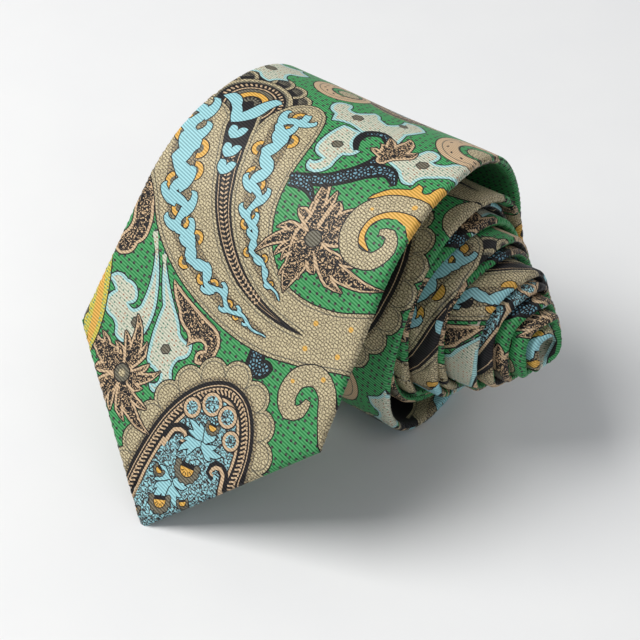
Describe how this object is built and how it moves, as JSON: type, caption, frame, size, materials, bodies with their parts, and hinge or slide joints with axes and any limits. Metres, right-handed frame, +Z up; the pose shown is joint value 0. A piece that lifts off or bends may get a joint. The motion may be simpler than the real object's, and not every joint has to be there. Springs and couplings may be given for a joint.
{
  "type": "rolled necktie",
  "caption": "Wide silk necktie with a paisley print, rolled from its narrow end with the pointed blade hanging over the front and the coil pushed out to one side.",
  "frame": {"origin": "middle of the bounding box in plan, on the table the roll rests on", "axes": "+Z up; +X along the roll's axis, towards the end where the coil is pushed out; the blade hangs down towards -Y"},
  "size_m": [0.1058, 0.1202, 0.0807],
  "materials": {
    "printed_silk": "twill silk with a soft sheen, printed",
    "lining": "plain satin lining",
    "interlining_wool": "brushed wool",
    "label_cloth": "woven ribbon, blank",
    "tag_cloth": "smooth white tape, blank",
    "thread": "twisted sewing thread"
  },
  "bodies": {
    "roll": {"blade_silk_roll": "printed_silk", "keeper_loop": "printed_silk", "keeper_tack_left": "thread", "keeper_tack_right": "thread", "blank_label": "label_cloth", "fibre_tag": "tag_cloth", "neck_silk": "printed_silk", "tail_silk": "printed_silk", "interlining_roll": "interlining_wool", "seam_thread": "thread", "tail_lining": "lining", "tail_bar_tack": "thread"},
    "blade_end": {"blade_silk_end": "printed_silk", "interlining_end": "interlining_wool", "blade_lining": "lining", "blade_bar_tack": "thread", "spare_thread_loop": "thread"}
  },
  "joints": [
    {"name": "blade_lift", "type": "hinge", "parent": "roll", "child": "blade_end", "pos_m": [0, 0.00122, 0.07634], "axis": [-1, 0, 0], "range_deg": [0, 60]}
  ]
}
